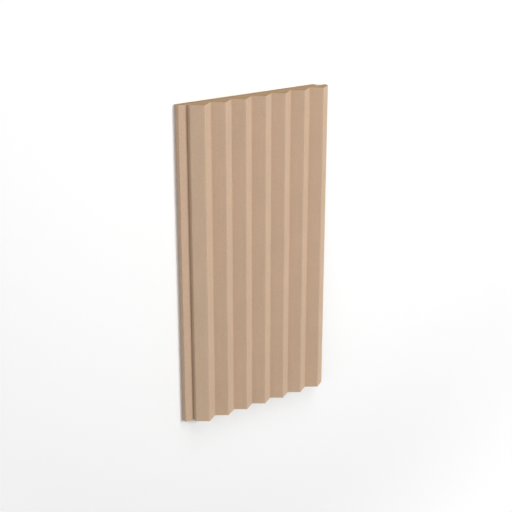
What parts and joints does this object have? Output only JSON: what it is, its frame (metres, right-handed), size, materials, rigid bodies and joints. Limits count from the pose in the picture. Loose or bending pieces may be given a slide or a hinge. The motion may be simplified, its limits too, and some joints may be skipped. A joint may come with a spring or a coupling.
{
  "type": "mdf wall panel",
  "caption": "Ship-lapped MDF wall panel, a flat board with V-shaped ribs along its length, an under lap on one edge and an over lap on the other.",
  "frame": {"origin": "middle of the panel's width and length, on the plane of the flat back", "axes": "+Y along the ribs, the panel's length; +X across the ribs, from the under lap to the over lap; +Z out of the ribbed front"},
  "size_m": [0.2218, 0.43, 0.025],
  "materials": {
    "mdf": "matte"
  },
  "bodies": {
    "root": {"wall_panel": "mdf"}
  },
  "joints": []
}
